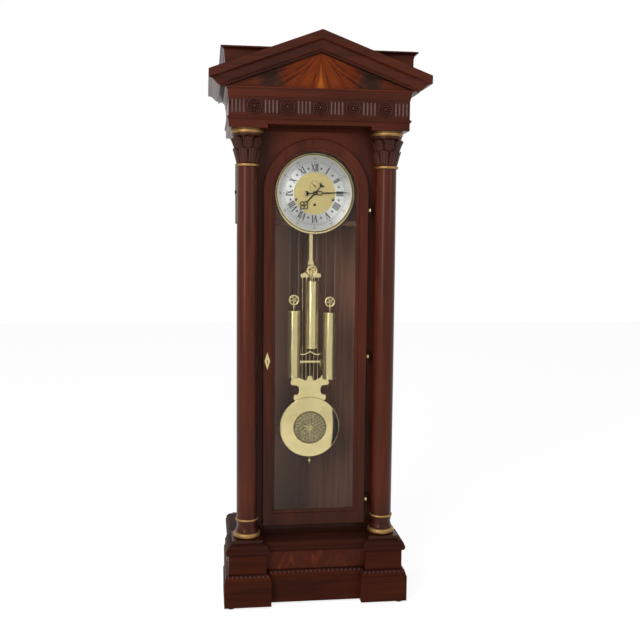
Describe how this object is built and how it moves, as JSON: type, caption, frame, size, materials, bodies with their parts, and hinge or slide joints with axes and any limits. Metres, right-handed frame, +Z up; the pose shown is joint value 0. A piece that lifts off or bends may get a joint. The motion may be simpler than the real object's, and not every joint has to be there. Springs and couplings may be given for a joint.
{
  "type": "longcase clock",
  "caption": "Tall mahogany longcase clock with columns, pediment, arched glazed door, round dial, brass weights on pulleys and a lyre pendulum with a round bob.",
  "frame": {"origin": "on the floor, under the middle of the case", "axes": "+X to the viewer's right, +Y to the back, +Z up"},
  "size_m": [0.922, 0.52, 2.4487],
  "materials": {
    "mahogany": "polished lacquer",
    "flame_veneer": "polished flame veneer",
    "gilding": "aged gilding",
    "polished_brass": "polished",
    "bronze": "grey bronze relief",
    "steel": "plain",
    "silvered": "matt silvered",
    "blackened_steel": "blackened",
    "glass": "clear"
  },
  "bodies": {
    "case": {"levelling_feet": "steel", "base_plinth": "mahogany", "plinth_moulding": "mahogany", "pedestal": "mahogany", "pedestal_panel": "flame_veneer", "pedestal_cap": "mahogany", "column_left": "mahogany", "column_right": "mahogany", "column_capitals": "mahogany", "gilt_rings": "gilding", "side_panel_left": "mahogany", "side_panel_right": "mahogany", "front_frame": "mahogany", "back_panel": "mahogany", "architrave": "mahogany", "frieze": "mahogany", "frieze_rosettes": "mahogany", "cornice": "mahogany", "tympanum": "flame_veneer", "attic": "mahogany", "case_hinge_leaves": "polished_brass", "dial_plate": "polished_brass", "chapter_ring": "silvered", "dial_bezel": "polished_brass", "movement_plates": "polished_brass", "seat_board": "mahogany", "chime_rods": "steel", "cable_left": "steel", "cable_centre": "steel", "cable_right": "steel"},
    "door": {"door_frame": "mahogany", "glazing_beads": "mahogany", "door_glass": "glass", "escutcheon": "polished_brass", "door_lock": "steel", "door_hinge_leaves": "polished_brass"},
    "lock_bolt": {"lock_bolt": "steel"},
    "side_door_left": {"side_door_left": "mahogany"},
    "side_door_right": {"side_door_right": "mahogany"},
    "pendulum": {"pendulum_rod": "polished_brass", "pendulum_lyre": "polished_brass", "pendulum_bob": "polished_brass", "bob_medallion": "bronze"},
    "pallet_anchor": {"pallet_anchor": "steel"},
    "minute": {"minute_hand": "blackened_steel", "centre_wheel": "polished_brass"},
    "hour": {"hour_hand": "blackened_steel"},
    "third": {"third_wheel": "polished_brass"},
    "escape": {"escape_wheel": "polished_brass", "seconds_hand": "blackened_steel"},
    "great": {"great_wheel": "polished_brass"},
    "drum_left": {"cable_drum_left": "polished_brass"},
    "weight_left": {"weight_left": "polished_brass"},
    "pulley_left": {"pulley_left": "polished_brass"},
    "drum_centre": {"cable_drum_centre": "polished_brass"},
    "weight_centre": {"weight_centre": "polished_brass"},
    "pulley_centre": {"pulley_centre": "polished_brass"},
    "drum_right": {"cable_drum_right": "polished_brass"},
    "weight_right": {"weight_right": "polished_brass"},
    "pulley_right": {"pulley_right": "polished_brass"}
  },
  "joints": [
    {"name": "door_hinge", "type": "hinge", "parent": "case", "child": "door", "pos_m": [0.236, -0.0995, 1], "axis": [0, 0, 1], "range_deg": [0, 105]},
    {"name": "bolt_slide", "type": "slide", "parent": "door", "child": "lock_bolt", "axis": [-1, 0, 0], "range_m": [0, 0.016]},
    {"name": "side_door_left_hinge", "type": "hinge", "parent": "case", "child": "side_door_left", "pos_m": [-0.3356, 0.155, 1.798], "axis": [0, 0, -1], "range_deg": [0, 100]},
    {"name": "side_door_right_hinge", "type": "hinge", "parent": "case", "child": "side_door_right", "pos_m": [0.3356, 0.155, 1.798], "axis": [0, 0, 1], "range_deg": [0, 100]},
    {"name": "pendulum_swing", "type": "hinge", "parent": "case", "child": "pendulum", "pos_m": [0, 0.092, 1.857], "axis": [0, 1, 0], "range_deg": [-3, 3]},
    {"name": "anchor_rock", "type": "hinge", "parent": "case", "child": "pallet_anchor", "pos_m": [0, 0.042, 1.857], "axis": [0, 1, 0], "range_deg": [-3.2, 3.2]},
    {"name": "minute_turn", "type": "hinge", "parent": "case", "child": "minute", "pos_m": [0, 0, 1.798], "axis": [0, 1, 0], "continuous": true},
    {"name": "hour_turn", "type": "hinge", "parent": "case", "child": "hour", "pos_m": [0, 0, 1.798], "axis": [0, 1, 0], "continuous": true},
    {"name": "third_turn", "type": "hinge", "parent": "case", "child": "third", "pos_m": [0.02498, 0, 1.81567], "axis": [0, 1, 0], "continuous": true},
    {"name": "escape_turn", "type": "hinge", "parent": "case", "child": "escape", "pos_m": [0, 0, 1.83], "axis": [0, 1, 0], "continuous": true},
    {"name": "great_turn", "type": "hinge", "parent": "case", "child": "great", "pos_m": [0, 0, 1.748], "axis": [0, 1, 0], "continuous": true},
    {"name": "weight_left_travel", "type": "slide", "parent": "case", "child": "weight_left", "axis": [0, 0, 1], "range_m": [-0.7, 0.285], "deforming": ["cable_left"]},
    {"name": "pulley_left_turn", "type": "hinge", "parent": "weight_left", "child": "pulley_left", "pos_m": [-0.082, 0.035, 1.324], "axis": [0, 1, 0], "range_deg": [-836, 2025]},
    {"name": "drum_left_turn", "type": "hinge", "parent": "case", "child": "drum_left", "pos_m": [-0.082, 0.035, 1.77], "axis": [0, 1, 0], "range_deg": [-1653, 4031]},
    {"name": "weight_centre_travel", "type": "slide", "parent": "case", "child": "weight_centre", "axis": [0, 0, 1], "range_m": [-0.83, 0.15], "deforming": ["cable_centre"]},
    {"name": "pulley_centre_turn", "type": "hinge", "parent": "weight_centre", "child": "pulley_centre", "pos_m": [0, 0.035, 1.457], "axis": [0, 1, 0], "range_deg": [-450, 2398]},
    {"name": "drum_centre_turn", "type": "hinge", "parent": "case", "child": "drum_centre", "pos_m": [0, 0.035, 1.748], "axis": [0, 1, 0], "range_deg": [-879, 4776]},
    {"name": "weight_right_travel", "type": "slide", "parent": "case", "child": "weight_right", "axis": [0, 0, 1], "range_m": [-0.69, 0.29], "deforming": ["cable_right"]},
    {"name": "pulley_right_turn", "type": "hinge", "parent": "weight_right", "child": "pulley_right", "pos_m": [0.082, 0.035, 1.316], "axis": [0, 1, 0], "range_deg": [-851, 1997]},
    {"name": "drum_right_turn", "type": "hinge", "parent": "case", "child": "drum_right", "pos_m": [0.082, 0.035, 1.77], "axis": [0, 1, 0], "range_deg": [-1682, 3973]}
  ],
  "couplings": [
    {"joint": "anchor_rock", "follows": "pendulum_swing", "ratio": 1},
    {"joint": "hour_turn", "follows": "minute_turn", "ratio": 0.083333},
    {"joint": "third_turn", "follows": "minute_turn", "ratio": -7.5},
    {"joint": "escape_turn", "follows": "minute_turn", "ratio": 60},
    {"joint": "great_turn", "follows": "minute_turn", "ratio": -0.083333},
    {"joint": "pulley_left_turn", "follows": "weight_left_travel", "rad_per_m": -50},
    {"joint": "drum_left_turn", "follows": "weight_left_travel", "rad_per_m": -100},
    {"joint": "pulley_centre_turn", "follows": "weight_centre_travel", "rad_per_m": -50},
    {"joint": "drum_centre_turn", "follows": "weight_centre_travel", "rad_per_m": -100},
    {"joint": "pulley_right_turn", "follows": "weight_right_travel", "rad_per_m": -50},
    {"joint": "drum_right_turn", "follows": "weight_right_travel", "rad_per_m": -100}
  ]
}
